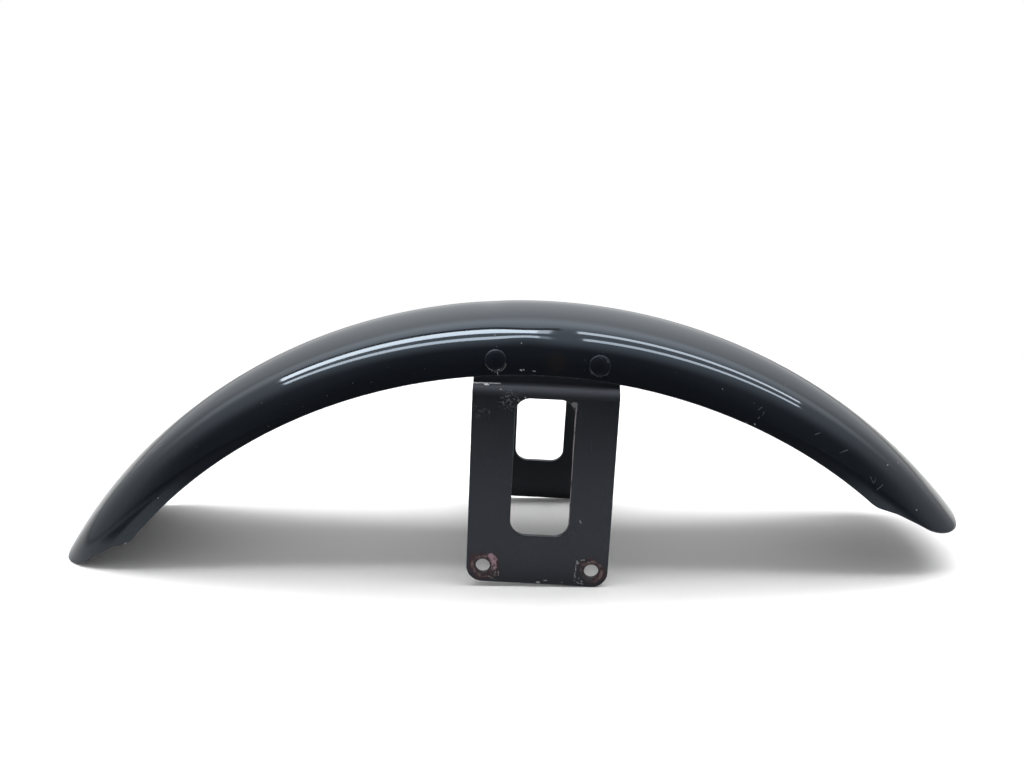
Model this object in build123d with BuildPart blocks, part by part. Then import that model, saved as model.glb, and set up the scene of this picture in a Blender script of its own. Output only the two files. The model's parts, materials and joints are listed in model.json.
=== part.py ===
from build123d import *
from math import asin, atan2, cos, degrees, hypot, radians, sin, sqrt, tan
import os

# Front mudguard of a motorcycle: a pressed sheet shell, riveted to a folded bridge bracket.
# It lies as it would on a bench, on the rear end of the shell and the front corners of the bracket's feet.
# +X points to the front, +Y to the left, +Z up, in millimetres. The origin is on the bench, in the middle.

# Shell, seen from the side. The axle is the centre of the crown's arc, and angles are in degrees.
crown_radius = 350.0
skirt_depth = 32.0
edge_rise = 6.5
front_arc = 47.9
front_slope = 25.4
rear_arc = 59.0
rear_slope = 30.4
end_radius = 40.0
tip_rake = 21.0
corner_radius = 18.0

# Shell, seen along the wheel
shell_width = 96.0
skirt_flat = 4.0
skirt_lean = 10.0
shoulder_radius = 30.0
sheet = 1.5

# Bracket
plate = 3.0
bracket_width = 82.0
bracket_offset = 2.4
neck = 0.5
bend_radius = 2.0
ledge = 1.8
ledge_angle = 70.0
splay = 4.6
hole_drop = 112.4
hole_spacing = 63.0
hole_diameter = 8.4
foot_drop = 9.6
foot_radius = 9.0
window_width = 33.5
window_radius = 8.5
window_above_holes = 20.0
window_below_bend = 1.6

# Rivets
rivet_inset = 12.0
rivet_lean = 19.0
rivet_shank = 6.0
rivet_head = 12.0
rivet_head_height = 1.5
rivet_rim = 0.3
rivet_tail = 9.0
rivet_tail_height = 2.0

# How far a cutting or turned shape runs past what it cuts, in millimetres and in degrees
spare = 10.0
spare_arc = 3.0
spare_turn = 20.0

# Heights above the axle, with the bracket upright
edge_top = crown_radius - skirt_depth
edge_radius = edge_top - edge_rise
spring = edge_top + skirt_flat
skirt_foot = edge_radius - edge_rise - spare
hole_line = edge_top - hole_drop
bracket_side = bracket_width / 2
bracket_reach = abs(bracket_offset) + bracket_side
neck_height = edge_rise + sqrt(edge_radius**2 - bracket_reach**2) - neck

# The arched section: a crown arc between two shoulder arcs, tangent to each other and to the leaning skirts
lean_turn = radians(skirt_lean)
shoulder_y = shell_width / 2 - skirt_flat * tan(lean_turn) - shoulder_radius * cos(lean_turn)
shoulder_height = spring - shoulder_radius * sin(lean_turn)
arch_height = crown_radius - shoulder_height
arch_radius = (shoulder_y**2 + arch_height**2 - shoulder_radius**2) / (2 * (arch_height - shoulder_radius))
arch_centre = crown_radius - arch_radius
shoulder_turn = atan2(shoulder_height - arch_centre, shoulder_y)

# The bend from the bracket's wall out to its plate, along the outer face
ledge_turn = radians(ledge_angle)
splay_turn = radians(splay)
outer_bend = bend_radius + plate
wall_y = shoulder_y + shoulder_radius - sheet
bend_y = (
    wall_y
    + bend_radius * (1 - cos(ledge_turn))
    + ledge * sin(ledge_turn)
    + outer_bend * (cos(splay_turn) - cos(ledge_turn))
)
bend_height = (
    neck_height
    - bend_radius * sin(ledge_turn)
    - ledge * cos(ledge_turn)
    - outer_bend * (sin(ledge_turn) - sin(splay_turn))
)
plate_rise = (bend_height - hole_line) / cos(splay_turn)
hole_y = bend_y + plate_rise * sin(splay_turn)
window_top = plate_rise - window_below_bend
window_height = window_top - window_above_holes


def end_directions(arc, sense):
    """Outward and onward directions at one end of the shell, seen from the side."""
    turn = radians(sense * arc)
    return Vector(sin(turn), cos(turn)), Vector(cos(turn), -sin(turn)) * sense


def round_centre(arc, sense):
    """Centre of the rounding that leads to the tip at one end of the shell, seen from the side."""
    outward, onward = end_directions(arc, sense)
    rake = radians(tip_rake)
    return outward * (crown_radius + end_radius * sin(rake)) - onward * end_radius * cos(rake)


# Resting pose: the bench touches the rear end's rounding and the rounded front corner of the plates' feet
rear_round = round_centre(rear_arc, -1)
foot_squash = foot_radius * cos(splay_turn)
foot_height = hole_line + (foot_radius - foot_drop) * cos(splay_turn) - plate * sin(splay_turn)
toe_x = bracket_offset + bracket_side - foot_radius
span_x = toe_x - rear_round.X
span_z = foot_height - rear_round.Y
tilt = atan2(span_z, span_x) - asin((foot_squash - end_radius) / hypot(span_x, span_z))
forward = Vector(cos(tilt), 0, -sin(tilt))
upward = Vector(sin(tilt), 0, cos(tilt))
sideways = Vector(0, 1, 0)
bench_drop = rear_round.Y * cos(tilt) - rear_round.X * sin(tilt) - end_radius
tips = [end_directions(arc, sense)[0] * crown_radius for arc, sense in ((rear_arc, -1), (front_arc, 1))]
middle_x = sum(tip.X * cos(tilt) + tip.Y * sin(tilt) for tip in tips) / 2
axle = Vector(-middle_x, 0, -bench_drop)
axle_axis = Axis(axle, sideways)
side_view = Plane(origin=axle, x_dir=forward, z_dir=sideways * -1)


def radial_plane(angle):
    """Plane through the axle with local x to the left and local y outwards at an angle from the bracket."""
    turn = radians(angle)
    return Plane(origin=axle, x_dir=sideways, z_dir=forward * cos(turn) - upward * sin(turn))


def arch_area(inset, lean, mode=Mode.ADD):
    """Area under the arched section, drawn in from the shell's outer face by inset, with sides that lean."""
    crown_x = (arch_radius - inset) * cos(shoulder_turn)
    crown_z = arch_centre + (arch_radius - inset) * sin(shoulder_turn)
    side_x = shoulder_y + (shoulder_radius - inset) * cos(lean)
    side_z = shoulder_height + (shoulder_radius - inset) * sin(lean)
    foot_x = side_x + (side_z - skirt_foot) * tan(lean)
    with BuildLine() as arch:
        ThreePointArc((-crown_x, crown_z), (0, crown_radius - inset), (crown_x, crown_z))
        for flank in (-1, 1):
            side = (flank * side_x, side_z)
            TangentArc(side, (flank * crown_x, crown_z), tangent=(-flank * sin(lean), cos(lean)))
            Line(side, (flank * foot_x, skirt_foot))
        Line((-foot_x, skirt_foot), (foot_x, skirt_foot))
    make_face(arch.edges(), mode=mode)


def end_outline(arc, slope_angle, sense):
    """Draw one end of the shell from the side, and give its skirt corner and the arc's end past the tip."""
    outward, onward = end_directions(arc, sense)
    slope = radians(slope_angle)
    past = radians(spare_turn - tip_rake)
    centre = round_centre(arc, sense)
    run_end = centre + (onward * sin(slope) - outward * cos(slope)) * end_radius
    run = onward * cos(slope) + outward * sin(slope)
    from_centre = run_end - Vector(0, edge_rise)
    half = from_centre.dot(run)
    corner = run_end - run * (half - sqrt(half**2 - from_centre.length**2 + edge_radius**2))
    past_tip = centre + (onward * cos(past) + outward * sin(past)) * end_radius
    Line(corner, run_end)
    TangentArc(run_end, past_tip, tangent=run)
    return corner, past_tip


def rivet_plane(flank, end):
    """Plane on the shell's outer face at a rivet, with local z pointing out along the rivet."""
    rise = radians(rivet_lean)
    radius = shoulder_height + shoulder_radius * sin(rise)
    turn = asin((bracket_offset + end * (bracket_side - rivet_inset)) / radius)
    outward = forward * sin(turn) + upward * cos(turn)
    onward = forward * cos(turn) - upward * sin(turn)
    seat = axle + outward * radius + sideways * flank * (shoulder_y + shoulder_radius * cos(rise))
    return Plane(origin=seat, x_dir=onward, z_dir=sideways * flank * cos(rise) + outward * sin(rise))


rivet_planes = {
    f"rivet_{flank_name}_{end_name}": rivet_plane(flank, end)
    for flank_name, flank in (("right", -1), ("left", 1))
    for end_name, end in (("front", 1), ("rear", -1))
}
rivet_grip = sheet + plate
head_sag = shoulder_radius - sqrt(shoulder_radius**2 - (rivet_head / 2) ** 2)

# Mudguard shell: the arched sheet turned about the axle, trimmed to its side view, with four rivet holes
with BuildPart() as mudguard_shell:
    with BuildSketch(radial_plane(-rear_arc - spare_arc)):
        arch_area(0, lean_turn)
        arch_area(sheet, lean_turn, mode=Mode.SUBTRACT)
    revolve(axis=axle_axis, revolution_arc=rear_arc + front_arc + 2 * spare_arc)
    with BuildSketch(side_view) as trim:
        with BuildLine():
            rear_corner, rear_past = end_outline(rear_arc, rear_slope, -1)
            front_corner, front_past = end_outline(front_arc, front_slope, 1)
            ThreePointArc(rear_corner, (0, edge_rise + edge_radius), front_corner)
            ThreePointArc(rear_past, (0, crown_radius + spare), front_past)
        make_face()
        corners = [trim.vertices().sort_by_distance(point)[0] for point in (rear_corner, front_corner)]
        fillet(corners, corner_radius)
    extrude(amount=shell_width, both=True, mode=Mode.INTERSECT)
    for seat in rivet_planes.values():
        with BuildSketch(seat):
            Circle(rivet_shank / 2)
        extrude(amount=-rivet_grip, mode=Mode.SUBTRACT)
mudguard_shell.part.label = "mudguard_shell"

# Bridge bracket: a saddle inside the crown with upright sides, and under each a stepped bend and a plate
with BuildPart() as bridge_bracket:
    saddle_arc = degrees(asin(bracket_reach / skirt_foot)) + spare_arc
    with BuildSketch(radial_plane(-saddle_arc)):
        arch_area(sheet, 0)
        arch_area(sheet + plate, 0, mode=Mode.SUBTRACT)
    revolve(axis=axle_axis, revolution_arc=2 * saddle_arc)
    with BuildSketch(side_view):
        with Locations((bracket_offset, neck_height)):
            Rectangle(bracket_width, crown_radius, align=(Align.CENTER, Align.MIN))
    extrude(amount=shell_width, both=True, mode=Mode.INTERSECT)

    with BuildSketch(Plane(axle + forward * bracket_offset, x_dir=sideways, z_dir=forward)):
        with BuildLine():
            bend_out = JernArc((wall_y, neck_height), (0, -1), bend_radius, ledge_angle)
            flat = Line(bend_out @ 1, (bend_out @ 1) + (bend_out % 1) * ledge)
            JernArc(flat @ 1, flat % 1, outer_bend, splay - ledge_angle)
            offset(amount=plate, side=Side.RIGHT)
        make_face()
        mirror(about=Plane.YZ)
    extrude(amount=bracket_side, both=True)

    for flank in (-1, 1):
        hole_middle = axle + forward * bracket_offset + upward * hole_line + sideways * flank * hole_y
        plate_normal = sideways * flank * cos(splay_turn) + upward * sin(splay_turn)
        with BuildSketch(Plane(hole_middle, x_dir=forward * -flank, z_dir=plate_normal)) as side_plate:
            with Locations((0, -foot_drop)):
                Rectangle(bracket_width, foot_drop + plate_rise, align=(Align.CENTER, Align.MIN))
            fillet(side_plate.vertices().group_by(Axis.Y)[0], foot_radius)
            with Locations((0, window_above_holes + window_height / 2)):
                RectangleRounded(window_width, window_height, window_radius, mode=Mode.SUBTRACT)
            with GridLocations(hole_spacing, 0, 2, 1):
                Circle(hole_diameter / 2, mode=Mode.SUBTRACT)
        extrude(amount=-plate)

    for seat in rivet_planes.values():
        with BuildSketch(seat):
            Circle(rivet_shank / 2)
        extrude(amount=-rivet_grip - rivet_tail, mode=Mode.SUBTRACT)
bridge_bracket.part.label = "bridge_bracket"

os.makedirs("parts", exist_ok=True)
export_step(mudguard_shell.part, "parts/mudguard_shell.step")
export_step(bridge_bracket.part, "parts/bridge_bracket.step")

# Rivets: a low domed head outside, a shank through both sheets and a flat tail, seated on the curved faces
for rivet_name, seat in rivet_planes.items():
    with BuildPart() as rivet:
        with BuildSketch(Plane(seat.origin, x_dir=seat.x_dir, z_dir=seat.y_dir * -1)):
            with BuildLine():
                Polyline(
                    (0, rivet_head_height),
                    (0, -rivet_grip - rivet_tail_height),
                    (rivet_tail / 2, -rivet_grip - rivet_tail_height),
                    (rivet_tail / 2, -sheet - plate / 2),
                    (rivet_shank / 2, -sheet - plate / 2),
                    (rivet_shank / 2, -head_sag),
                    (rivet_head / 2, -head_sag),
                    (rivet_head / 2, rivet_rim),
                )
                TangentArc((0, rivet_head_height), (rivet_head / 2, rivet_rim), tangent=(1, 0))
            make_face()
        revolve(axis=Axis(seat.origin, seat.z_dir))
        add(mudguard_shell.part, mode=Mode.SUBTRACT)
        add(bridge_bracket.part, mode=Mode.SUBTRACT)
    rivet.part.label = rivet_name
    export_step(rivet.part, f"parts/{rivet_name}.step")
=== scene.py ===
import json
from math import atan2, cos, pi, radians, sin, sqrt, tan

import bpy
import numpy as np
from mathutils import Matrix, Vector


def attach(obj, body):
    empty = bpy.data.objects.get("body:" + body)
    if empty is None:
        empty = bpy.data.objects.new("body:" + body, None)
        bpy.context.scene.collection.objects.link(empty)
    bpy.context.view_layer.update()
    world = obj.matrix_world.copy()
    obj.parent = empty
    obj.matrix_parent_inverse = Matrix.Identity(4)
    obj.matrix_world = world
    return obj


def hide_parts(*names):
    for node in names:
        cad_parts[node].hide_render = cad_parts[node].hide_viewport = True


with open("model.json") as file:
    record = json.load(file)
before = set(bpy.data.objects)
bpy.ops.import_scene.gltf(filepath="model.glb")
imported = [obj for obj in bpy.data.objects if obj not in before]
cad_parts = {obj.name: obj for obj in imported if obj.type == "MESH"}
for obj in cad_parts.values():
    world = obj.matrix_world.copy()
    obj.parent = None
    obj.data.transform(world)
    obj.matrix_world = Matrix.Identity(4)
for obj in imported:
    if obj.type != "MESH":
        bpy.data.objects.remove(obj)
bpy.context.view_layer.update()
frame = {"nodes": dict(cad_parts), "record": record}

# Front mudguard of a motorcycle: a pressed, gloss black shell riveted to a satin black bridge bracket.
# Lengths are in metres. The axle is the middle of the crown's arc; angles round it are 0 over the bracket.
MM = 0.001

# Shell, seen from the side
CROWN_RADIUS = 350 * MM
SKIRT_DEPTH = 32 * MM
EDGE_RISE = 6.5 * MM
FRONT_ARC, FRONT_SLOPE = radians(47.9), radians(25.4)
REAR_ARC, REAR_SLOPE = radians(59), radians(30.4)
END_RADIUS = 40 * MM
TIP_RAKE = radians(21)
CORNER_RADIUS = 18 * MM

# Shell, seen along the wheel
SHELL_WIDTH = 96 * MM
SKIRT_FLAT = 4 * MM
SKIRT_LEAN = radians(10)
SHOULDER_RADIUS = 30 * MM
SHEET = 1.5 * MM
RIM_ROUND = 0.45 * MM

# Dents in the shell: degrees round the axle, then millimetres across, half length, half width and depth.
# A depth below 0 is a bulge outwards.
DENTS = ((-1.6, -40.0, 13, 5, -0.26), (-5.4, 2, 7, 15, 0.4))

# Bracket
PLATE = 3 * MM
BRACKET_WIDTH = 82 * MM
BRACKET_OFFSET = 2.4 * MM
NECK = 0.5 * MM
WALL_TURN = 0.12
BEND_RADIUS = 2 * MM
LEDGE = 1.8 * MM
LEDGE_ANGLE = radians(70)
SPLAY = radians(4.6)
HOLE_DROP = 112.4 * MM
HOLE_SPACING = 63 * MM
HOLE_RADIUS = 4.2 * MM
FOOT_DROP = 9.6 * MM
FOOT_RADIUS = 9 * MM
WINDOW_WIDTH = 33.5 * MM
WINDOW_RADIUS = 8.5 * MM
WINDOW_ABOVE_HOLES = 20 * MM
WINDOW_BELOW_BEND = 1.6 * MM
PLATE_ROUND = 0.5 * MM
CUT_DEPTH = 6 * PLATE

# Rivets
RIVET_LEAN = radians(19)
RIVET_INSET = 12 * MM
HEAD_RADIUS = 6 * MM
HEAD_ROUND = 0.15 * MM

# How finely the meshes are divided, and which edges are sharp
COLUMNS = 260
CROWN_STEPS = 16
SHOULDER_STEPS = 22
SKIRT_STEPS = 8
OUTLINE_STEPS = 40
BEND_STEPS = 8
BRACKET_COLUMNS = 8
CORNER_STEPS = 12
HOLE_STEPS = 48
ROUND_STEPS = 3
FLAT_TURN = radians(0.4)
SHARP_TURN = radians(38)
SHEET_SMOOTH = radians(60)
FOLD_SMOOTH = radians(32)
RIM_TURN = radians(50)
SAME_PLACE = MM / 100

# Where the axle is, and which way the part leans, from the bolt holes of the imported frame
right_holes, left_holes = sorted(frame["record"]["mounts"], key=lambda mount: mount["pos_m"][1])
tilt = atan2(left_holes["axis"][0], left_holes["axis"][2])
forward = np.array((cos(tilt), 0, -sin(tilt)))
sideways = np.array((0, 1.0, 0))
upward = np.array((sin(tilt), 0, cos(tilt)))
edge_top = CROWN_RADIUS - SKIRT_DEPTH
edge_radius = edge_top - EDGE_RISE
hole_line = edge_top - HOLE_DROP
holes_middle = (np.array(right_holes["pos_m"]) + np.array(left_holes["pos_m"])) / 2
axle = holes_middle - forward * BRACKET_OFFSET - upward * (hole_line - PLATE / 2 * sin(SPLAY))

# The arched section: a crown arc between two shoulder arcs, tangent to each other and to the leaning skirts
spring = edge_top + SKIRT_FLAT
shoulder_y = SHELL_WIDTH / 2 - SKIRT_FLAT * tan(SKIRT_LEAN) - SHOULDER_RADIUS * cos(SKIRT_LEAN)
shoulder_height = spring - SHOULDER_RADIUS * sin(SKIRT_LEAN)
arch_height = CROWN_RADIUS - shoulder_height
arch_radius = (shoulder_y**2 + arch_height**2 - SHOULDER_RADIUS**2) / (2 * (arch_height - SHOULDER_RADIUS))
arch_centre = CROWN_RADIUS - arch_radius
crown_turn = atan2(shoulder_y, shoulder_height - arch_centre)
shoulder_sweep = pi / 2 - crown_turn - SKIRT_LEAN

# The bend from the bracket's wall out to its plate, along the outer face
bracket_side = BRACKET_WIDTH / 2
neck_height = EDGE_RISE + sqrt(edge_radius**2 - (bracket_side + BRACKET_OFFSET) ** 2) - NECK
wall_y = shoulder_y + SHOULDER_RADIUS - SHEET
outer_bend = BEND_RADIUS + PLATE
ledge_y = wall_y + BEND_RADIUS * (1 - cos(LEDGE_ANGLE)) + LEDGE * sin(LEDGE_ANGLE)
ledge_height = neck_height - BEND_RADIUS * sin(LEDGE_ANGLE) - LEDGE * cos(LEDGE_ANGLE)
bend_y = ledge_y + outer_bend * (cos(SPLAY) - cos(LEDGE_ANGLE))
bend_height = ledge_height - outer_bend * (sin(LEDGE_ANGLE) - sin(SPLAY))
plate_rise = (bend_height - hole_line) / cos(SPLAY)
hole_y = bend_y + plate_rise * sin(SPLAY)
window_height = plate_rise - WINDOW_BELOW_BEND - WINDOW_ABOVE_HOLES


# Modelling helpers

def begin(size, place):
    """Add a small plane as the start of a new piece, with its place in its mesh, and go into edit mode."""
    bpy.ops.object.select_all(action="DESELECT")
    bpy.ops.mesh.primitive_plane_add(size=size, location=place)
    bpy.ops.object.transform_apply(location=True, rotation=True, scale=True)
    bpy.ops.object.mode_set(mode="EDIT")
    bpy.ops.mesh.select_mode(type="VERT")
    bpy.ops.mesh.select_all(action="SELECT")
    return bpy.context.object


def finish_piece(piece, name, smooth_angle):
    """Leave edit mode, name the piece and shade it smooth up to an angle."""
    bpy.ops.object.mode_set(mode="OBJECT")
    piece.name = piece.data.name = name
    make_only(piece)
    bpy.ops.object.shade_smooth_by_angle(angle=smooth_angle)


def make_only(piece):
    """Select one object and make it the active one."""
    bpy.ops.object.select_all(action="DESELECT")
    piece.select_set(True)
    bpy.context.view_layer.objects.active = piece


def apply_modifier(piece, kind, **settings):
    """Give a piece a modifier and apply it."""
    modifier = piece.modifiers.new(kind, kind)
    for key, value in settings.items():
        setattr(modifier, key, value)
    make_only(piece)
    bpy.ops.object.modifier_apply(modifier=modifier.name)


def round_edges(piece, width):
    """Round every edge where the faces turn by more than a bend's steps do."""
    apply_modifier(
        piece, "BEVEL", width=width, segments=ROUND_STEPS, limit_method="ANGLE", angle_limit=SHARP_TURN,
        use_clamp_overlap=False,
    )


def extrude(step):
    """Draw what is selected out by one step."""
    bpy.ops.mesh.extrude_region_move(TRANSFORM_OT_translate={"value": step})


def points_of(piece):
    """The piece's vertices as rows of x, y, z."""
    places = np.empty(len(piece.data.vertices) * 3)
    piece.data.vertices.foreach_get("co", places)
    return places.reshape(-1, 3)


def set_points(piece, places):
    """Put the piece's vertices at rows of x, y, z."""
    piece.data.vertices.foreach_set("co", places.ravel())
    piece.data.update()


def make_sheet(outer, inner):
    """Join two faces into one sheet, closed round their borders, and stay in edit mode."""
    make_only(outer)
    inner.select_set(True)
    bpy.ops.object.join()
    bpy.ops.object.mode_set(mode="EDIT")
    bpy.ops.mesh.select_all(action="DESELECT")
    bpy.ops.mesh.select_mode(type="EDGE")
    bpy.ops.mesh.select_non_manifold(extend=False, use_wire=False, use_multi_face=False, use_verts=False)
    bpy.ops.mesh.bridge_edge_loops()
    bpy.ops.mesh.select_all(action="SELECT")
    bpy.ops.mesh.normals_make_consistent(inside=False)
    return outer


# Shell

def edge_at(turn):
    """Radius of the skirt's lower edge, a circle centred a little above the axle."""
    return EDGE_RISE * np.cos(turn) + np.sqrt(edge_radius**2 - (EDGE_RISE * np.sin(turn)) ** 2)


def arc_points(centre, radius, start, end):
    """Points on the shorter arc from one unit direction to another."""
    first, last = (atan2(direction[1], direction[0]) for direction in (start, end))
    sweep = (last - first + pi) % (2 * pi) - pi
    turns = first + sweep * np.linspace(0, 1, OUTLINE_STEPS)
    return centre + radius * np.column_stack((np.cos(turns), np.sin(turns)))


def end_outline(arc, slope, sense):
    """One end of the shell from the side, as radii and turns from the skirt's edge up to the tip."""
    outward = np.array((sin(sense * arc), cos(sense * arc)))
    onward = sense * np.array((cos(sense * arc), -sin(sense * arc)))
    run = onward * cos(slope) + outward * sin(slope)
    inward = outward * cos(slope) - onward * sin(slope)
    to_tip = onward * cos(TIP_RAKE) - outward * sin(TIP_RAKE)
    round_centre = outward * CROWN_RADIUS - to_tip * END_RADIUS
    edge_centre = np.array((0, EDGE_RISE))
    from_edge = round_centre - inward * (END_RADIUS - CORNER_RADIUS) - edge_centre
    half = from_edge @ run
    reach = edge_radius + CORNER_RADIUS
    back = half - sqrt(half**2 - from_edge @ from_edge + reach**2)
    corner_centre = edge_centre + from_edge - run * back
    to_edge = (edge_centre - corner_centre) / reach
    points = np.vstack((
        arc_points(corner_centre, CORNER_RADIUS, to_edge, -inward),
        arc_points(round_centre, END_RADIUS, -inward, to_tip),
    ))
    return np.hypot(*points.T), np.arctan2(*points.T)


def on_section(side, radius):
    """Length across the section to a place, the way the sheet faces there, and the place's depth in it."""
    over_crown = radius - arch_centre
    over_shoulder = radius - shoulder_height
    past_shoulder = side - shoulder_y
    turn = np.arctan2(side, over_crown)
    bend = np.arctan2(past_shoulder, over_shoulder)
    bend = np.clip(bend, crown_turn, pi / 2 - SKIRT_LEAN)
    down_skirt = np.maximum(SHOULDER_RADIUS * sin(SKIRT_LEAN) - over_shoulder, 0) / cos(SKIRT_LEAN)
    on_crown = turn < crown_turn
    out = np.where(on_crown, turn, bend)
    length = np.where(
        on_crown,
        arch_radius * turn,
        arch_radius * crown_turn + SHOULDER_RADIUS * (bend - crown_turn) + down_skirt,
    )
    reach = past_shoulder * np.sin(bend) + over_shoulder * np.cos(bend)
    depth = np.where(on_crown, arch_radius - np.hypot(side, over_crown), SHOULDER_RADIUS - reach)
    return length, np.sin(out), np.cos(out), depth


def dent_push(turn, across):
    """How far the sheet is pressed in, or out where below 0, at places round the axle and across it."""
    push = np.zeros(len(turn))
    for dent_turn, dent_across, half_length, half_width, depth in DENTS:
        along = (turn - radians(dent_turn)) * CROWN_RADIUS / (half_length * MM)
        over = (across - dent_across * MM) / (half_width * MM)
        push += depth * MM * np.exp(-(along**2 + over**2))
    return push


def dented(turn, side, radius):
    """Sideways place and radius once the dents are in."""
    length, facing_side, facing_up, _ = on_section(np.abs(side), radius)
    push = dent_push(turn, np.sign(side) * length)
    return side - np.sign(side) * facing_side * push, radius - facing_up * push


def sheet_face(inset):
    """One face of the shell: half a section turned about the axle, mirrored and drawn out to the ends."""
    face = begin(MM, Vector(axle) + Vector((0, 0, CROWN_RADIUS - inset)))
    bpy.ops.mesh.merge(type="CENTER")
    crown_centre = Vector(axle) + Vector((0, 0, arch_centre))
    bpy.ops.mesh.spin(steps=CROWN_STEPS, angle=crown_turn, center=crown_centre, axis=(1, 0, 0))
    shoulder_centre = Vector(axle) + Vector((0, shoulder_y, shoulder_height))
    bpy.ops.mesh.spin(steps=SHOULDER_STEPS, angle=shoulder_sweep, center=shoulder_centre, axis=(1, 0, 0))
    side_height = shoulder_height + (SHOULDER_RADIUS - inset) * sin(SKIRT_LEAN)
    drop = Vector((0, 0, -(side_height - edge_top) / SKIRT_STEPS))
    for _ in range(SKIRT_STEPS):
        extrude(drop)
    bpy.ops.mesh.select_all(action="SELECT")
    span = REAR_ARC + FRONT_ARC
    bpy.ops.mesh.spin(steps=COLUMNS, angle=-span, center=axle, axis=(0, 1, 0))
    bpy.ops.object.mode_set(mode="OBJECT")
    apply_modifier(face, "MIRROR", use_axis=(False, True, False), merge_threshold=SAME_PLACE)

    places = points_of(face) - axle
    share = np.arctan2(places[:, 0], places[:, 2]) / span
    radius = np.hypot(places[:, 0], places[:, 2])

    def level(radius, turn):
        """Radius down to the skirt, and below that evenly from the skirt's top to its edge."""
        down = (side_height - radius) / (side_height - edge_at(turn))
        return np.where(radius < side_height, side_height - (side_height - edge_top) * down, radius)

    ends = []
    for arc, slope, sense in ((REAR_ARC, REAR_SLOPE, -1), (FRONT_ARC, FRONT_SLOPE, 1)):
        end_radius, end_turn = end_outline(arc, slope, sense)
        ends.append(np.interp(radius, level(end_radius, end_turn), end_turn))
    turn = ends[0] + share * (ends[1] - ends[0])
    down = (side_height - radius) / (side_height - edge_top)
    on_skirt = radius < side_height
    radius = np.where(on_skirt, side_height - (side_height - edge_at(turn)) * down, radius)
    lean = np.where(on_skirt, (side_height - radius) * tan(SKIRT_LEAN), 0)
    across = places[:, 1] + np.sign(places[:, 1]) * lean
    across, radius = dented(turn, across, radius)
    along = np.outer(radius * np.sin(turn), forward) + np.outer(radius * np.cos(turn), upward)
    set_points(face, axle + along + np.outer(across, sideways))
    return face


def mudguard_shell():
    """The shell: its outer and inner faces, joined round their borders by a rounded rim."""
    outer = make_sheet(sheet_face(0), sheet_face(SHEET))
    bpy.ops.mesh.select_all(action="DESELECT")
    bpy.ops.mesh.edges_select_sharp(sharpness=RIM_TURN)
    bpy.ops.mesh.bevel(offset=RIM_ROUND, segments=ROUND_STEPS, affect="EDGES")
    finish_piece(outer, "shell_sheet", SHEET_SMOOTH)
    mark_spread(outer)
    return outer


def mark_spread(piece):
    """Give the points their places along the crown and across the section, and their depth in the sheet."""
    places = points_of(piece) - axle
    ahead, height = places @ forward, places @ upward
    length, _, _, depth = on_section(np.abs(places[:, 1]), np.hypot(ahead, height))
    turn = np.arctan2(ahead, height)
    across = np.sign(places[:, 1]) * length
    depth = depth - dent_push(turn, across)
    spread = np.column_stack((turn * CROWN_RADIUS, across, depth / SHEET))
    attribute = piece.data.attributes.new("spread", "FLOAT_VECTOR", "POINT")
    attribute.data.foreach_set("vector", spread.ravel())


# Bracket and rivets

def select_points(piece, chosen):
    """Choose vertices in object mode and go into edit mode with them."""
    bpy.ops.object.mode_set(mode="EDIT")
    bpy.ops.mesh.select_mode(type="VERT")
    bpy.ops.mesh.select_all(action="DESELECT")
    bpy.ops.object.mode_set(mode="OBJECT")
    piece.data.vertices.foreach_set("select", chosen)
    bpy.ops.object.mode_set(mode="EDIT")


def folded_face(inset):
    """One face of the bracket: half its section, drawn along the wheel and mirrored."""
    corner = Vector(axle) + Vector((BRACKET_OFFSET - bracket_side, 0, 0))
    face = begin(MM, corner + Vector((0, 0, CROWN_RADIUS - inset)))
    bpy.ops.mesh.merge(type="CENTER")

    def fold(steps, angle, y, height):
        centre = corner + Vector((0, y, height))
        bpy.ops.mesh.spin(steps=steps, angle=angle, center=centre, axis=(1, 0, 0))

    fold(CROWN_STEPS, crown_turn, 0, arch_centre)
    fold(SHOULDER_STEPS, pi / 2 - crown_turn - WALL_TURN, shoulder_y, shoulder_height)
    shoulder = SHOULDER_RADIUS - inset
    wall_height = shoulder_height + shoulder * sin(WALL_TURN)
    extrude((0, shoulder * (1 - cos(WALL_TURN)), neck_height - wall_height))
    fold(BEND_STEPS, -LEDGE_ANGLE, wall_y + BEND_RADIUS, neck_height)
    extrude((0, LEDGE * sin(LEDGE_ANGLE), -LEDGE * cos(LEDGE_ANGLE)))
    bend_centre_y = ledge_y - outer_bend * cos(LEDGE_ANGLE)
    bend_centre_height = ledge_height - outer_bend * sin(LEDGE_ANGLE)
    fold(BEND_STEPS, LEDGE_ANGLE - SPLAY, bend_centre_y, bend_centre_height)
    plate_length = plate_rise + FOOT_DROP
    extrude((0, plate_length * sin(SPLAY), -plate_length * cos(SPLAY)))
    bpy.ops.mesh.select_all(action="SELECT")
    for _ in range(BRACKET_COLUMNS):
        extrude((BRACKET_WIDTH / BRACKET_COLUMNS, 0, 0))
    bpy.ops.object.mode_set(mode="OBJECT")
    apply_modifier(face, "MIRROR", use_axis=(False, True, False), merge_threshold=SAME_PLACE)

    places = points_of(face) - axle
    ahead, height = places[:, 0], places[:, 2]
    on_saddle = height > neck_height + MM
    height = np.where(on_saddle, np.sqrt(height**2 - ahead**2), height)
    at_foot = height < hole_line
    at_side = np.abs(ahead - BRACKET_OFFSET) > bracket_side - MM
    along = np.outer(ahead, forward) + np.outer(height, upward)
    set_points(face, axle + along + np.outer(places[:, 1], sideways))
    select_points(face, at_foot & at_side)
    bpy.ops.mesh.bevel(offset=FOOT_RADIUS, segments=CORNER_STEPS, affect="VERTICES")
    bpy.ops.object.mode_set(mode="OBJECT")
    return face


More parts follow.
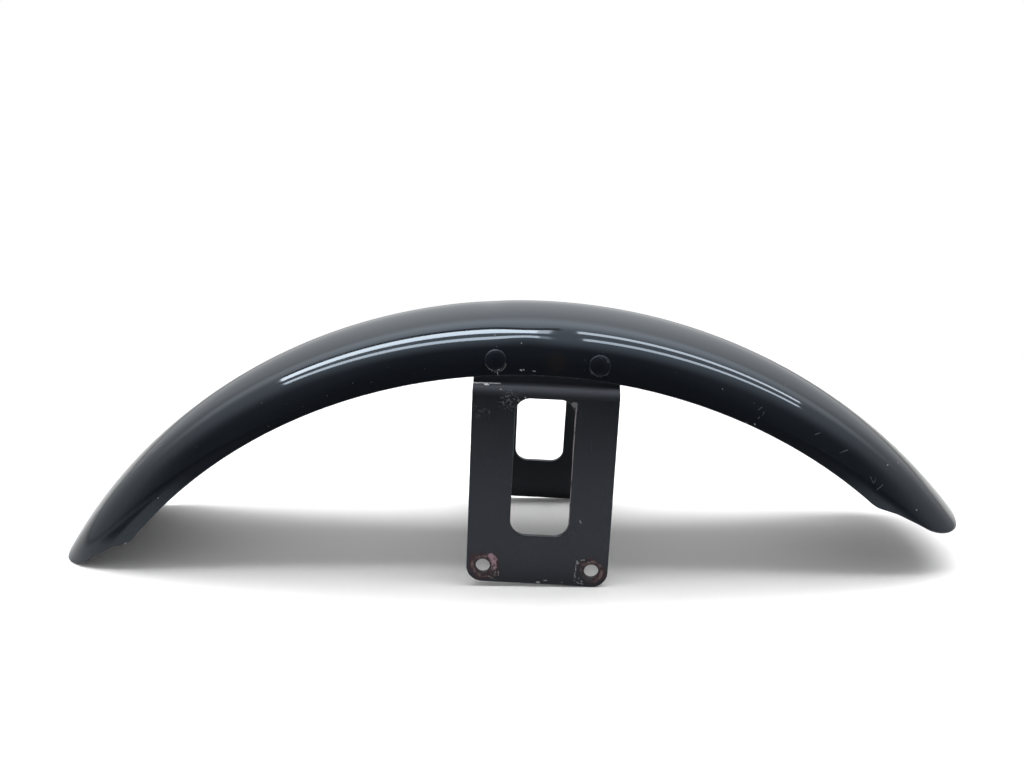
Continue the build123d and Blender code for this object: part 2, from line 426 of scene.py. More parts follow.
def plate_cutter():
    """The windows and bolt holes of both plates as solids to take away."""
    depth = CUT_DEPTH
    cutters = []
    for flank in (-1, 1):
        middle = axle + forward * BRACKET_OFFSET + upward * hole_line + sideways * flank * hole_y
        out = sideways * flank * cos(SPLAY) + upward * sin(SPLAY)
        up = upward * cos(SPLAY) - sideways * flank * sin(SPLAY)
        pieces = []
        window = begin(1, (0, 0, 0))
        bpy.ops.transform.resize(value=(WINDOW_WIDTH, window_height, 1))
        bpy.ops.transform.translate(value=(0, WINDOW_ABOVE_HOLES + window_height / 2, -depth / 2))
        bpy.ops.mesh.bevel(offset=WINDOW_RADIUS, segments=CORNER_STEPS, affect="VERTICES")
        bpy.ops.mesh.select_all(action="SELECT")
        extrude((0, 0, depth))
        bpy.ops.object.mode_set(mode="OBJECT")
        pieces.append(window)
        for end in (-1, 1):
            bpy.ops.object.select_all(action="DESELECT")
            place = (end * HOLE_SPACING / 2, 0, 0)
            bpy.ops.mesh.primitive_cylinder_add(
                vertices=HOLE_STEPS, radius=HOLE_RADIUS, depth=depth, location=place
            )
            bpy.ops.object.transform_apply(location=True, rotation=True, scale=True)
            pieces.append(bpy.context.object)
        for piece in pieces:
            flat = points_of(piece)
            set_points(piece, middle + flat @ np.array((forward, up, out)))
        cutters += pieces
    make_only(cutters[0])
    for piece in cutters:
        piece.select_set(True)
    bpy.ops.object.join()
    bpy.ops.object.mode_set(mode="EDIT")
    bpy.ops.mesh.select_all(action="SELECT")
    bpy.ops.mesh.normals_make_consistent(inside=False)
    bpy.ops.object.mode_set(mode="OBJECT")
    return cutters[0]


def bridge_bracket():
    """The bracket: its folded face made a sheet, cut through and rounded at the edges."""
    piece = make_sheet(folded_face(SHEET), folded_face(SHEET + PLATE))
    bpy.ops.mesh.dissolve_limited(angle_limit=FLAT_TURN)
    bpy.ops.object.mode_set(mode="OBJECT")
    cutter = plate_cutter()
    apply_modifier(piece, "BOOLEAN", object=cutter, operation="DIFFERENCE", solver="EXACT")
    bpy.data.objects.remove(cutter)
    round_edges(piece, PLATE_ROUND)
    finish_piece(piece, "bracket_sheet", FOLD_SMOOTH)
    apply_modifier(piece, "WEIGHTED_NORMAL", weight=100, keep_sharp=True)
    return piece


def rounded_copy(node, name, width):
    """A copy of a solid's mesh, merged, freed of flat triangles and with its edges rounded."""
    mesh = frame["nodes"][node].data.copy()
    mesh.materials.clear()
    piece = bpy.data.objects.new(name, mesh)
    bpy.context.scene.collection.objects.link(piece)
    make_only(piece)
    bpy.ops.object.mode_set(mode="EDIT")
    bpy.ops.mesh.select_all(action="SELECT")
    bpy.ops.mesh.remove_doubles(threshold=SAME_PLACE / 5)
    bpy.ops.mesh.dissolve_limited(angle_limit=FLAT_TURN)
    bpy.ops.object.mode_set(mode="OBJECT")
    round_edges(piece, width)
    finish_piece(piece, name, FOLD_SMOOTH)
    return piece


# Shader maths

class Link:
    """A node's output, so that shader maths reads as an expression."""

    def __init__(self, finish, output):
        self.finish = finish
        self.output = output

    def maths(self, operation, *others, first=None):
        values = [self if first is None else first, *others]
        return self.finish.add("Math", {"operation": operation}, inputs=values)

    def __add__(self, other):
        return self.maths("ADD", other)

    def __sub__(self, other):
        return self.maths("SUBTRACT", other)

    def __rsub__(self, other):
        return self.maths("SUBTRACT", self, first=other)

    def __mul__(self, other):
        return self.maths("MULTIPLY", other)

    def __truediv__(self, other):
        return self.maths("DIVIDE", other)

    def __or__(self, other):
        return self.maths("MAXIMUM", other)

    __radd__ = __add__
    __rmul__ = __mul__

    def size(self):
        return self.maths("ABSOLUTE")

    def vector(self, operation, *others, output="Vector"):
        return self.finish.add("VectorMath", {"operation": operation}, [self, *others], output)

    def step(self, low, high):
        """0 below low, 1 above high and smooth between; the other way round where low is the larger."""
        settings = {"interpolation_type": "SMOOTHSTEP"}
        bounds = {"From Min": min(low, high), "From Max": max(low, high)}
        ends = {"To Min": float(low > high), "To Max": float(low < high)}
        return self.finish.add("MapRange", settings, {"Value": self, **bounds, **ends})


class Finish:
    """A node tree being made; add puts in any node, by its type, settings and inputs."""

    def __init__(self, tree):
        self.tree = tree
        self.tree.nodes.clear()

    def add(self, kind, settings=None, inputs=(), output=0):
        node = self.tree.nodes.new("ShaderNode" + kind)
        for key, value in (settings or {}).items():
            setattr(node, key, value)
        pairs = inputs.items() if isinstance(inputs, dict) else enumerate(inputs)
        for key, value in pairs:
            if isinstance(value, Link):
                self.tree.links.new(value.output, node.inputs[key])
            else:
                node.inputs[key].default_value = value
        return Link(self, node.outputs[output]) if node.outputs else None

    def parts(self, vector):
        """The x, y and z of a vector."""
        first = self.add("SeparateXYZ", inputs=[vector])
        outputs = first.output.node.outputs
        return [Link(self, outputs[axis]) for axis in range(3)]

    def blend(self, share, first, second):
        """A colour between two, by share."""
        inputs = {"Factor": share, 6: first, 7: second}
        return self.add("Mix", {"data_type": "RGBA"}, inputs, output=2)

    def between(self, share, first, second):
        """A number between two, by share."""
        return first + share * (second - first)

    def noise(self, place, grain, detail=3.0, stretch=(1, 1, 1)):
        """Cloudy noise whose patches are about one grain long, in metres, or more along a stretched axis."""
        scaled = place.vector("DIVIDE", stretch)
        return self.add("TexNoise", inputs={"Vector": scaled, "Scale": 1 / grain, "Detail": detail})

    def specks(self, place, grain, share, reach):
        """Small round specks, one in some cells of a grain's size; reach is a speck's part of its cell."""
        inputs = {"Vector": place, "Scale": 1 / grain}
        distance = self.add("TexVoronoi", inputs=inputs)
        shade = self.parts(self.add("TexVoronoi", inputs=inputs, output=1))[0]
        return distance.step(reach, reach * 0.5) * shade.step(1 - share, 1 - share * 0.9)

    def marks(self, place, strokes):
        """1 on strokes and spots, 0 off them; each has two flat places and a half width, in metres."""
        nearest = None
        for first, last, half_width in strokes:
            start = Vector((*first, 0))
            run = Vector((*last, 0)) - start
            offset = place.vector("SUBTRACT", tuple(start))
            share = offset.vector("DOT_PRODUCT", tuple(run / max(run.length_squared, 1e-12)), output="Value")
            share = self.add("Math", {"operation": "ADD", "use_clamp": True}, [share, 0.0])
            foot = self.add("VectorMath", {"operation": "SCALE"}, {0: tuple(run), "Scale": share})
            away = offset.vector("DISTANCE", foot, output="Value") / half_width
            nearest = away if nearest is None else nearest.maths("MINIMUM", away)
        return nearest.step(1.2, 0.6)

    def bump(self, height, strength, distance):
        return self.add("Bump", inputs={"Strength": strength, "Distance": distance, "Height": height})


def new_material(name):
    material = bpy.data.materials.new(name)
    material.use_nodes = True
    return material, Finish(material.node_tree)


def flat_place(finish, first, second):
    """Two lengths as one flat place."""
    return finish.add("CombineXYZ", inputs=[first, second, 0.0])


def wobbled(finish, place, grain, reach):
    """A place moved about by noise, so that marks on it get ragged edges."""
    colour = finish.noise(place, grain).output.node.outputs[1]
    sway = Link(finish, colour).vector("SUBTRACT", (0.5, 0.5, 0.5))
    return place.vector("ADD", finish.add("VectorMath", {"operation": "SCALE"}, {0: sway, "Scale": reach}))


# Paint and wear

WHITE = (1, 1, 1, 1)
BLACK = (0, 0, 0, 1)
GLOSS_TINT = (0.72, 0.86, 1, 1)
SATIN_TINT = (0.79, 0.865, 1, 1)
GLOSS_BLACK = (0.0035, 0.0042, 0.0065, 1)
RIVET_BLACK = (0.006, 0.007, 0.0105, 1)
INSIDE_BLACK = (0.008, 0.0075, 0.007, 1)
SATIN_BLACK = (0.0048, 0.0048, 0.007, 1)
DULL_SATIN = (0.011, 0.0105, 0.0115, 1)
WASHER_SHADE = (0.002, 0.002, 0.003, 1)
BROWN_PATCH = (0.014, 0.009, 0.007, 1)
ROAD_DIRT = (0.05, 0.042, 0.034, 1)
DUST = (0.16, 0.155, 0.15, 1)
RUST = (0.042, 0.018, 0.017, 1)
WORN_RUST = (0.21, 0.14, 0.135, 1)
# Primer grey, also mixed into the shell's cut rim as a painted highlight
PRIMER_AND_HIGHLIGHT = (0.20, 0.20, 0.205, 1)
PINK_PRIMER = (0.36, 0.23, 0.27, 1)
LILAC_PRIMER = (0.2, 0.18, 0.19, 1)
SPOT_PRIMER = (0.19, 0.18, 0.185, 1)
EDGE_PRIMER = (0.36, 0.30, 0.31, 1)
STEEL = (0.42, 0.41, 0.41, 1)
BRIGHT_STEEL = (0.62, 0.62, 0.63, 1)
PAINT_IOR = 1.5

# Wear on the shell. Each stroke has two ends, in degrees round the axle and millimetres across the section,
# and a half width in millimetres.
SHELL_SCRATCHES = (
    ((21.8, -54.3), (22, -52.2), 0.22),
    ((22.4, -56.2), (22.4, -54.2), 0.22),
    ((22.1, -59), (22.2, -57.7), 0.2),
    ((28.1, -52), (28.6, -49.1), 0.22),
    ((31.3, -53.1), (31.9, -49), 0.22),
    ((35.4, -53.9), (36.1, -56), 0.18),
    ((36, -52.6), (36.1, -56), 0.18),
    ((36.8, -57.4), (37, -52.9), 0.2),
    ((12, 47), (14.5, 49), 0.3),
    ((-24, 52), (-22.5, 55), 0.35),
    ((-31, 44), (-28, 43), 0.25),
)
SHELL_HAIRLINES = (
    ((-46.5, -31), (-40, -33), 0.3),
    ((-45, -24), (-41, -28), 0.25),
    ((38, -33), (45, -36), 0.3),
    ((41, -27), (46, -30), 0.25),
    ((24, 12), (33, 20), 0.25),
    ((-30, 5), (-22, 14), 0.25),
)
SHELL_CHIPS = (
    ((-4.5, -62), (-4.5, -63.2), 0.3),
    ((-2.25, -60.8), (-2.1, -61.2), 0.45),
    ((-1.95, -60.6), (-1.9, -60.8), 0.3),
    ((-1, -61.3), (-0.8, -61.5), 0.28),
    ((3.4, -64.6), (3.7, -64.7), 0.6),
    ((-2.2, -45.5), (-2.15, -46), 0.28),
    ((-50.7, -65.2), (-50.8, -65), 0.45),
    ((-44, -60.4), (-44, -60.4), 0.38),
    ((36.6, -40.5), (36.6, -40.7), 0.4),
    ((37.9, -32.4), (37.9, -32.4), 0.35),
    ((41.7, -50.2), (41.7, -50.2), 0.4),
    ((17.7, -51.1), (17.7, -51.1), 0.3),
    ((22, -62.7), (22.1, -62.9), 0.35),
    ((21.2, -63.7), (21.2, -63.7), 0.3),
    ((-12, 60), (-11.8, 60.6), 0.7),
    ((27, 58), (27.1, 58.3), 0.5),
)
# Rivets: degrees round the axle and millimetres across, and how much paint is lost at the lower rim
RIVET_RINGS = ((-4.6, -55.6, 0.4), (5.5, -55.6, 0.2), (-4.6, 55.6, 0.4), (5.5, 55.6, 0.4))
RIVET_RING_RADIUS = 6.3 * MM
# A brownish patch between the rivets: its place along the crown and across, and how far it reaches
BROWN_PATCH_PLACE = (8 * MM, -57 * MM, 0)
BROWN_PATCH_REACH = 9 * MM

# Wear on the right plate, in millimetres forward of its middle and up from the bolt line
BEND_LOSS = (
    ((-41, 107.25), (-33, 107.2), 0.2),
    ((-34.2, 107), (-32.2, 107), 0.45),
    ((-32, 107.3), (-25.6, 107.3), 0.17),
)
PLATE_CHIPS = (
    ((0.5, -8.5), (1.8, -8.6), 0.7),
    ((4.6, -7), (5.8, -7), 0.35),
    ((15, -7.9), (15.2, -7.7), 0.35),
    ((23.8, 29.5), (23.2, 31), 0.3),
    ((-11.4, 101.2), (-11.2, 101.3), 0.4),
    ((-25.6, 105.2), (-25, 105.2), 0.5),
    ((-22.3, -3), (-22.2, -5.5), 0.25),
)
WASHER_MARK = (
    ((22.9, 5.8), (23.4, 4.8), 0.8),
    ((22.6, 3.6), (22.2, -2), 0.3),
    ((22.1, -2.6), (22.3, -6), 0.5),
    ((25.4, 6.6), (27.2, 6.9), 0.4),
    ((23.4, -7.2), (27.4, -8), 0.45),
    ((24.6, -4.6), (26.6, -6.6), 0.5),
)
WASHER_EDGE = (
    ((25.2, 7.4), (30.6, 6.8), 0.5),
    ((24.6, 3.6), (23.8, -4), 0.5),
)
WINDOW_EDGE_LOSS = (((17.1, 96), (16.9, 70), 0.22), ((16.9, 70), (16.9, 28), 0.16))
BARE_SPOT = (((15.6, 98.7), (16.2, 98.5), 1.6), ((17, 97.2), (17.2, 95), 0.5))
PINK_PATCH = (((-27, 6.6), (-25, 4.4), 1.8), ((-25.2, 3.2), (-24.6, -0.6), 1.7))
LILAC_STREAK = (((-24.6, -0.5), (-24.2, -5), 0.9), ((-28, -6.5), (-23.5, -8), 0.5))
SMEARS = (((-39.5, 94.5), (-32, 92), 1.6), ((-38, 90), (-36, 88), 1.3))
SCUFF_PLACE = (-19.5 * MM, 100 * MM, 0)
SCUFF_REACH = 8.5 * MM
# The bend over the plate: its start and end, up from the bolt line, and how far out its bare line may lie
BEND_RANGE = (101 * MM, 104 * MM)
BEND_BARE_SIDE = (-45.5 * MM, -46.5 * MM)
# Rust round a bolt hole: how far it reaches, and the ring in it that a washer wore
RUST_REACH = (9.6 * MM, 8.2 * MM)
WASHER_RADIUS = 6 * MM


def on_shell(strokes):
    """Strokes given by degrees and millimetres, as lengths along the crown and across, in metres."""
    for first, last, half_width in strokes:
        ends = [(radians(turn) * CROWN_RADIUS, across * MM) for turn, across in (first, last)]
        yield *ends, half_width * MM


def on_plate(strokes):
    """Strokes given in millimetres, as lengths in metres."""
    for first, last, half_width in strokes:
        yield [value * MM for value in first], [value * MM for value in last], half_width * MM


def seen_from_side(finish, body):
    """Lengths forward of the bracket's middle and out from the axle, and the place across the wheel."""
    from_axle = body.vector("SUBTRACT", tuple(axle))
    ahead = from_axle.vector("DOT_PRODUCT", tuple(forward), output="Value") - BRACKET_OFFSET
    height = from_axle.vector("DOT_PRODUCT", tuple(upward), output="Value")
    return ahead, height, finish.parts(body)[1]


def ring_loss(finish, face, across):
    """Paint lost round the lower rims of the rivets."""
    rings = None
    for turn, place, loss in RIVET_RINGS:
        middle = (radians(turn) * CROWN_RADIUS, place * MM, 0)
        away = face.vector("DISTANCE", middle, output="Value")
        below = (across.size() - abs(place) * MM).step(0.5 * MM, 4 * MM)
        ring = (away - RIVET_RING_RADIUS).size().step(0.4 * MM, 0.15 * MM) * below * loss
        rings = ring if rings is None else rings | ring
    return rings * finish.noise(face, 2.2 * MM, 2).step(0.47, 0.57)


def shell_paint():
    """Gloss black on the shell, chipped and scratched outside, dull with road dirt inside, and with a painted
    highlight along its rim.
    """
    material, finish = new_material("shell_gloss_black")
    along, across, depth = finish.parts(finish.add("Attribute", {"attribute_name": "spread"}, output=1))
    body = finish.add("TexCoord", output=3)
    face = flat_place(finish, along, across)
    outside = depth.step(0.3, 0.1)
    inside = depth.step(0.6, 0.9)
    rim = depth.step(0.05, 0.25) * depth.step(0.95, 0.75)

    ragged = wobbled(finish, face, 1.5 * MM, 1.2 * MM)
    chips = finish.marks(ragged, on_shell(SHELL_CHIPS)) * outside
    scratches = finish.marks(wobbled(finish, face, 4 * MM, 0.5 * MM), on_shell(SHELL_SCRATCHES)) * outside
    scratches = scratches * finish.noise(face, 1.2 * MM).step(0.36, 0.5)
    hairlines = finish.marks(wobbled(finish, face, 30 * MM, 3 * MM), on_shell(SHELL_HAIRLINES)) * outside

    rings = ring_loss(finish, face, across) * outside
    rim_loss = rim * finish.noise(body, 5 * MM, 4).step(0.57, 0.66)
    bare = (chips | rings) | rim_loss

    dust = finish.specks(body, 5 * MM, 0.3, 0.07) * outside
    film = finish.noise(body, 90 * MM, 4).step(0.4, 0.75)
    brown_patch = face.vector("DISTANCE", BROWN_PATCH_PLACE, output="Value").step(BROWN_PATCH_REACH, 2 * MM) * outside
    dirt = inside * finish.noise(body, 22 * MM, 6).step(0.32, 0.68)
    rust = inside * finish.noise(body, 9 * MM, 5).step(0.6, 0.7)

    # A brownish patch between the rivets, mixed in half way
    colour = finish.blend(brown_patch * 0.5, GLOSS_BLACK, BROWN_PATCH)
    colour = finish.blend(inside, colour, INSIDE_BLACK)
    colour = finish.blend(dirt * 0.7, colour, ROAD_DIRT)
    colour = finish.blend(rust, colour, RUST)
    colour = finish.blend(hairlines * 0.25, colour, DUST)
    colour = finish.blend(dust * 0.5, colour, DUST)
    # Painted highlight: the whole cut rim is lightened a quarter of the way to grey, as if it caught the
    # light
    colour = finish.blend(rim * 0.25, colour, PRIMER_AND_HIGHLIGHT)
    colour = finish.blend(scratches * 0.48, colour, PRIMER_AND_HIGHLIGHT)
    colour = finish.blend(bare * 0.9, colour, STEEL)

    worn = scratches | bare
    gloss = 0.05 + 0.05 * film
    roughness = finish.between(inside, gloss, 0.34) + 0.25 * dirt
    roughness = roughness + 0.35 * worn + 0.22 * hairlines + 0.2 * dust
    fine = finish.noise(body, 0.7 * MM, 2) * finish.between(inside, outside * 0.04, 0.6)
    relief = fine + 0.3 * dirt - 0.5 * bare
    surface = finish.add("BsdfPrincipled", inputs={
        "Base Color": colour,
        "Roughness": roughness,
        "IOR": PAINT_IOR,
        "Specular Tint": GLOSS_TINT,
        "Normal": finish.bump(relief, 0.35, 0.15 * MM),
    })
    finish.add("OutputMaterial", inputs={"Surface": surface})
    return material


def hole_rust(finish, body, ahead, up, patches):
    """Rust round the bolt holes, all round the rear ones, and the ring that a washer wore in it."""
    around_hole = flat_place(finish, ahead.size() - HOLE_SPACING / 2, up)
    around_hole = around_hole.vector("LENGTH", output="Value")
    uneven = around_hole + (patches - 0.5) * (9 * MM)
    front_part = (ahead + up * 0.9).step(22 * MM, 30 * MM)
    rear_hole = ahead.step(0, -MM)
    share = rear_hole | front_part
    flaked = finish.noise(body, 3.2 * MM, 4).step(0.34, 0.52)
    rust = uneven.step(*RUST_REACH) * (share | 0.25 * patches) * finish.between(flaked, 0.35, 1)
    worn_ring = (around_hole - WASHER_RADIUS).size().step(1.3 * MM, 0.5 * MM) * share
    return rust, worn_ring * finish.noise(body, 2.6 * MM, 4).step(0.4, 0.62)


def bracket_paint():
    """Satin black on the bracket, rusted round the bolt holes and worn at its bends, edges and feet."""
    material, finish = new_material("bracket_satin_black")
    body = finish.add("TexCoord", output=3)
    ahead, height, side = seen_from_side(finish, body)
    up = (height - hole_line) / cos(SPLAY)
    depth = (hole_y - up * sin(SPLAY) - side.size()) * cos(SPLAY)
    outside = depth.step(1.2 * MM, 0.7 * MM)
    right = side.step(MM, -MM) * outside
    face = flat_place(finish, ahead, up)

    ragged = wobbled(finish, face, 1.6 * MM, 1.4 * MM)
    patches = finish.noise(body, 7 * MM, 4)
    rust, worn_ring = hole_rust(finish, body, ahead, up, patches)
    pink = finish.marks(ragged, on_plate(PINK_PATCH)) * right
    pink = pink * finish.noise(body, 2.5 * MM, 3).step(0.35, 0.5)
    lilac = finish.marks(ragged, on_plate(LILAC_STREAK)) * right
    lilac = lilac * finish.noise(body, 1.5 * MM, 3).step(0.4, 0.55)

    broken = finish.noise(body, 1.8 * MM, 3).step(0.42, 0.54)
    bend = up.step(*BEND_RANGE)
    wavy = wobbled(finish, face, 2.5 * MM, 0.3 * MM)
    line = finish.marks(wavy, on_plate(BEND_LOSS)) * side.step(*BEND_BARE_SIDE)
    line = line * finish.noise(body, 2.2 * MM, 3).step(0.36, 0.46)
    chips = finish.marks(ragged, on_plate(PLATE_CHIPS)) * right
    washer = finish.marks(ragged, on_plate(WASHER_MARK)) * right * broken
    window_edge = finish.marks(face, on_plate(WINDOW_EDGE_LOSS)) * right
    window_edge = window_edge * finish.noise(body, 6 * MM, 3).step(0.3, 0.5)
    washer_edge = finish.marks(ragged, on_plate(WASHER_EDGE)) * right
    spot = finish.marks(ragged, on_plate(BARE_SPOT)) * right

    from_scuff = face.vector("DISTANCE", SCUFF_PLACE, output="Value")
    from_scuff = from_scuff + (finish.noise(body, 6 * MM) - 0.5) * (8 * MM)
    scuff = from_scuff.step(SCUFF_REACH, 3 * MM) * right
    scuff = scuff * finish.noise(body, 0.9 * MM, 3).step(0.55, 0.66)
    smear = finish.marks(ragged, on_plate(SMEARS)) * right
    smear = smear * finish.noise(body, 3 * MM, 4).step(0.4, 0.7)
    scrapes = finish.noise(body, 1.1 * MM, 2, stretch=(1, 1, 30)).step(0.7, 0.78)
    film = finish.noise(body, 45 * MM, 4)
    dust = finish.specks(body, 4 * MM, 0.3, 0.07)

    colour = finish.blend(film.step(0.4, 0.8) * 0.4, SATIN_BLACK, DULL_SATIN)
    colour = finish.blend(dust * 0.4, colour, DUST)
    colour = finish.blend(smear * 0.3, colour, DUST)
    colour = finish.blend(scuff * 0.7, colour, PRIMER_AND_HIGHLIGHT)
    colour = finish.blend(rust * 0.9, colour, RUST)
    colour = finish.blend(worn_ring * 0.75, colour, WORN_RUST)
    colour = finish.blend(lilac * 0.8, colour, LILAC_PRIMER)
    colour = finish.blend(pink, colour, PINK_PRIMER)
    colour = finish.blend(washer_edge * 0.9, colour, WASHER_SHADE)
    colour = finish.blend(washer * 0.6, colour, STEEL)
    colour = finish.blend(spot * 0.75, colour, SPOT_PRIMER)
    colour = finish.blend(window_edge * 0.8, colour, EDGE_PRIMER)
    colour = finish.blend(chips * 0.8, colour, STEEL)
    colour = finish.blend(line, colour, BRIGHT_STEEL)

    bare = ((washer | chips) | (line | spot)) | window_edge
    rough = (rust | pink) | (worn_ring | lilac)
    roughness = 0.2 + 0.12 * film + 0.4 * rough + 0.3 * bare + 0.3 * scuff + 0.15 * smear + 0.12 * scrapes
    roughness = roughness + 0.12 * (1 - outside) * (1 - bend) + 0.5 * bend
    grain = finish.noise(body, 0.8 * MM, 3)
    relief = 0.05 * grain + rough * (0.5 * grain + 0.2 * patches) - 0.4 * (chips | line) - 0.2 * scuff
    surface = finish.add("BsdfPrincipled", inputs={
        "Base Color": colour,
        "Roughness": roughness,
        "IOR": PAINT_IOR,
        "Specular Tint": SATIN_TINT,
        "Normal": finish.bump(relief, 0.4, 0.2 * MM),
    })
    finish.add("OutputMaterial", inputs={"Surface": surface})
    return material


def rivet_paint():
    """The shell's gloss black on the rivets, with thick paint, dust and a few bare points."""
    material, finish = new_material("rivet_gloss_black")
    body = finish.add("TexCoord", output=3)
    ahead, height, side = seen_from_side(finish, body)
    out = side.size() - (shoulder_y + SHOULDER_RADIUS * cos(RIVET_LEAN))
    radius = flat_place(finish, ahead + BRACKET_OFFSET, height).vector("LENGTH", output="Value")
    up = radius - (shoulder_height + SHOULDER_RADIUS * sin(RIVET_LEAN))
    up = up * cos(RIVET_LEAN) - out * sin(RIVET_LEAN)
    from_middle = flat_place(finish, ahead.size() - (bracket_side - RIVET_INSET), up)
    reach = from_middle.vector("LENGTH", output="Value")
    edge = reach.step(HEAD_RADIUS - 1.2 * MM, HEAD_RADIUS - 0.5 * MM)
    chipped = finish.noise(body, 2.2 * MM, 3).step(0.46, 0.56)
    chipped = chipped * finish.between(ahead.step(-MM, MM), 1, 0.3)
    lower_rim = reach.step(HEAD_RADIUS - 0.5 * MM, HEAD_RADIUS - 0.3 * MM) * up.step(-1.5 * MM, -3 * MM)
    dust = finish.specks(body, 3 * MM, 0.3, 0.1)
    bare = finish.noise(body, 1.6 * MM, 3).step(0.68, 0.74) * 0.4 | lower_rim * chipped
    colour = finish.blend(dust * 0.5, RIVET_BLACK, DUST)
    colour = finish.blend(bare, colour, PRIMER_AND_HIGHLIGHT)
    waves = finish.noise(body, 3 * MM, 2)
    surface = finish.add("BsdfPrincipled", inputs={
        "Base Color": colour,
        "Roughness": 0.12 + 0.06 * waves + 0.15 * edge + 0.3 * bare,
        "IOR": PAINT_IOR,
        "Specular IOR Level": 0.25,
        "Specular Tint": GLOSS_TINT,
        "Normal": finish.bump(waves - 0.5 * bare, 0.15, 0.3 * MM),
    })
    finish.add("OutputMaterial", inputs={"Surface": surface})
    return material


# Light tent, floor and camera

# What the paint mirrors: walls, a glow on the roof behind, and the opening, in its middle and at its sides
WALL_LEVEL = 1.25
GLOW_LEVEL = 0.9
OPENING_LEVEL = (0.15, 0.33)
# How much of that there is low and high up, and at the ends, and its tint
RISE_SHARE = (0.72, 1.25)
END_SHARE = 0.8
TENT_TINT = (0.96, 0.99, 1.02, 1)
# How white the floor is in the mirror
MIRRORED_FLOOR = 0.64
# What falls on dull faces, and how much more of it comes from behind
DIFFUSE_LEVEL = 0.66
BEHIND_SHARE = 0.85


def tent_world():
    """A light tent by direction: pale walls and roof, dark towards the front, and white to the camera."""
    world = bpy.data.worlds.new("light_tent")
    bpy.context.scene.world = world
    world.use_nodes = True
    finish = Finish(world.node_tree)
    x, y, z = finish.parts(finish.add("TexCoord"))
    roof_share = (z - 0.4).maths("MAXIMUM", 0)
    opening = (0.17 * z.step(0.05, 0.3) - y - 0.3 * roof_share).step(0.27, 0.75)
    across = y / z.maths("MAXIMUM", 0.05)
    glow = across.step(0.1, 0.5) * across.step(1.0, 0.6) * z.step(0.2, 0.5)
    gap_level = finish.between(x.size().step(0.3, 0.65), *OPENING_LEVEL)
    level = finish.between(opening, WALL_LEVEL, gap_level) + GLOW_LEVEL * glow
    level = level * finish.between(z.step(0.15, 0.8), *RISE_SHARE)
    level = level * finish.between(x.size().step(0.3, 0.9), 1, END_SHARE)
    camera = finish.add("LightPath")
    mirrored = finish.add("LightPath", output="Is Glossy Ray")
    level = finish.between(mirrored, DIFFUSE_LEVEL * (1 + BEHIND_SHARE * y), level)
    tint = finish.blend(mirrored, WHITE, TENT_TINT)
    inside = finish.add("Background", inputs={"Color": tint, "Strength": level})
    white = finish.add("Background", inputs={"Color": WHITE, "Strength": 1.0})
    both = finish.add("MixShader", inputs=[camera, inside, white])
    finish.add("OutputWorld", inputs={"Surface": both})


FLOOR_SIZE = 30
FLOOR_WHITE = (0.98, 0.98, 0.98, 1)
FLOOR_MIDDLE = (0.05, 0, 0)


def floor_material():
    """White board: plain white far away to the camera, and to the paint darker in front and past the rear."""
    material, finish = new_material("white_board")
    place = finish.add("TexCoord", output=3)
    x, y, _ = finish.parts(place)
    away = place.vector("DISTANCE", FLOOR_MIDDLE, output="Value")
    in_front = -1 * y / away
    dim = away.step(0.35, 0.68) * in_front.step(0.38, 0.68)
    past_rear = (0.6 * y - x).step(0.225, 0.255) * in_front.step(0.26, 0.36) * away.step(0.85, 0.58)
    lit = MIRRORED_FLOOR * (1 - 0.72 * (dim | past_rear))
    seen = finish.add("LightPath")
    tone = lit + seen * (1 - lit)
    colour = finish.blend(tone, BLACK, FLOOR_WHITE)
    board = finish.add("BsdfDiffuse", inputs={"Color": colour})
    white = finish.add("Emission", inputs={"Color": WHITE, "Strength": 1.0})
    far = seen * away.step(0.45, 0.7)
    surface = finish.add("MixShader", inputs=[far, board, white])
    below = finish.add("NewGeometry", output="Backfacing")
    surface = finish.add("MixShader", inputs=[below, surface, finish.add("BsdfTransparent")])
    finish.add("OutputMaterial", inputs={"Surface": surface})
    return material


def add_floor():
    bpy.ops.object.select_all(action="DESELECT")
    bpy.ops.mesh.primitive_plane_add(size=FLOOR_SIZE, location=(0, 0, 0))
    floor = bpy.context.object
    floor.name = "floor"
    floor.data.materials.append(floor_material())


STRIP_HEIGHT = 0.9
# Strips of light under the roof, as mirrored: name, ends along the part, place across it, width and radiance
STRIPS = (
    ("rear_left", -0.95, 0.07, 0.005, 0.15, 16.5),
    ("rear_left_end", 0.07, 0.11, 0.005, 0.15, 8),
    ("front_left", -0.95, 0.08, -0.25, 0.1, 11.5),
    ("front_left_end", 0.08, 0.115, -0.25, 0.1, 3),
    ("rear_right", 0.18, 1.22, 0.06, 0.09, 10.5),
    ("front_right", 0.2, 1.23, -0.19, 0.085, 10),
)
# The light that falls from them on everything, as from one strip: ends, place across, width and radiance
KEY_SPAN = (-1, 1)
KEY_PLACE = 0.09
KEY_WIDTH = 0.5
KEY_RADIANCE = 6.1
# A dark strip beside the rear left light, as its frame
FRAME_SPAN = (-0.95, 0.13)
FRAME_PLACE = (0.085, 0.17)
FRAME_LEVEL = 0.5


def add_strip(name, low, high, y, width, radiance, mirrored):
    """One strip of light, either mirrored in the paint or falling on everything."""
    lamp = bpy.data.lights.new(name, "AREA")
    lamp.shape = "RECTANGLE"
    lamp.size = high - low
    lamp.size_y = width
    lamp.energy = radiance * pi * lamp.size * lamp.size_y
    strip = bpy.data.objects.new(name, lamp)
    strip.location = ((low + high) / 2, y, STRIP_HEIGHT)
    strip.visible_camera = False
    strip.visible_diffuse = not mirrored
    strip.visible_glossy = mirrored
    bpy.context.scene.collection.objects.link(strip)


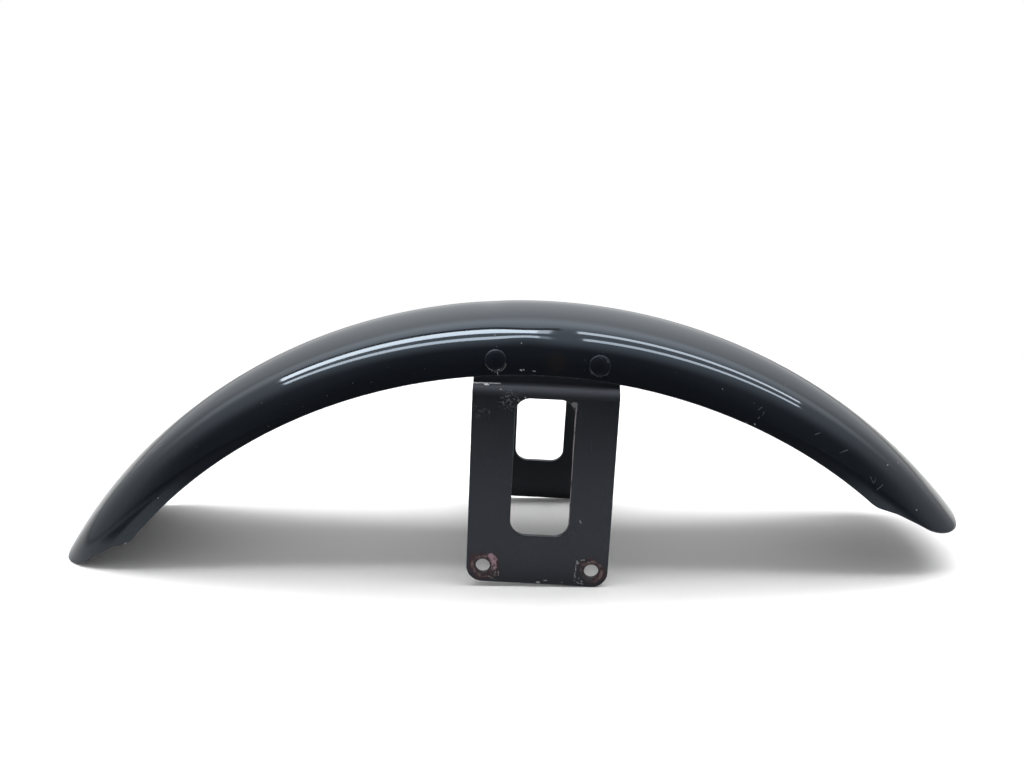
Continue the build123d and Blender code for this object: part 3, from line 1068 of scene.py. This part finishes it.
def add_lights():
    for name, low, high, y, width, radiance in STRIPS:
        add_strip(f"strip_{name}", low, high, y, width, radiance, True)
    add_strip("strip_key", *KEY_SPAN, KEY_PLACE, KEY_WIDTH, KEY_RADIANCE, False)
    add_light_frame()


def add_light_frame():
    """The dark frame beside a strip, seen only in the paint."""
    low, high = FRAME_SPAN
    near, far = FRAME_PLACE
    bpy.ops.object.select_all(action="DESELECT")
    bpy.ops.mesh.primitive_plane_add(size=1, location=((low + high) / 2, (near + far) / 2, STRIP_HEIGHT))
    light_frame = bpy.context.object
    light_frame.scale = (high - low, far - near, 1)
    light_frame.name = "light_frame"
    light_frame.visible_camera = False
    light_frame.visible_diffuse = False
    light_frame.visible_shadow = False
    material, finish = new_material("dark_frame")
    shade = finish.add("Emission", inputs={"Color": WHITE, "Strength": FRAME_LEVEL})
    finish.add("OutputMaterial", inputs={"Surface": shade})
    light_frame.data.materials.append(material)


# The camera, fitted to the photograph: sensor and lens in millimetres, place, and turn in degrees
SENSOR_WIDTH = 36
LENS = 27.845
CAMERA_PLACE = (0.02336, -0.47033, 0.24538)
CAMERA_TURN = (73.388, 0.463, 1.877)


def add_camera():
    view = bpy.data.cameras.new("camera")
    view.sensor_width = SENSOR_WIDTH
    view.lens = LENS
    view.clip_start = 10 * MM
    camera = bpy.data.objects.new("camera", view)
    camera.location = CAMERA_PLACE
    camera.rotation_euler = [radians(turn) for turn in CAMERA_TURN]
    bpy.context.scene.collection.objects.link(camera)
    bpy.context.scene.camera = camera


# The part, dressed, and the picture round it

shell_gloss = shell_paint()
bracket_satin = bracket_paint()
rivet_gloss = rivet_paint()

shell = mudguard_shell()
shell.data.materials.append(shell_gloss)
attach(shell, "root")
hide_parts("mudguard_shell")

bracket = bridge_bracket()
bracket.data.materials.append(bracket_satin)
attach(bracket, "root")
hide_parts("bridge_bracket")

for flank in ("right", "left"):
    for end in ("front", "rear"):
        rivet = rounded_copy(f"rivet_{flank}_{end}", f"rivet_head_{flank}_{end}", HEAD_ROUND)
        rivet.data.materials.append(rivet_gloss)
        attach(rivet, "root")
        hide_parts(f"rivet_{flank}_{end}")

tent_world()
add_floor()
add_lights()
add_camera()
bpy.context.scene.view_settings.view_transform = "Standard"
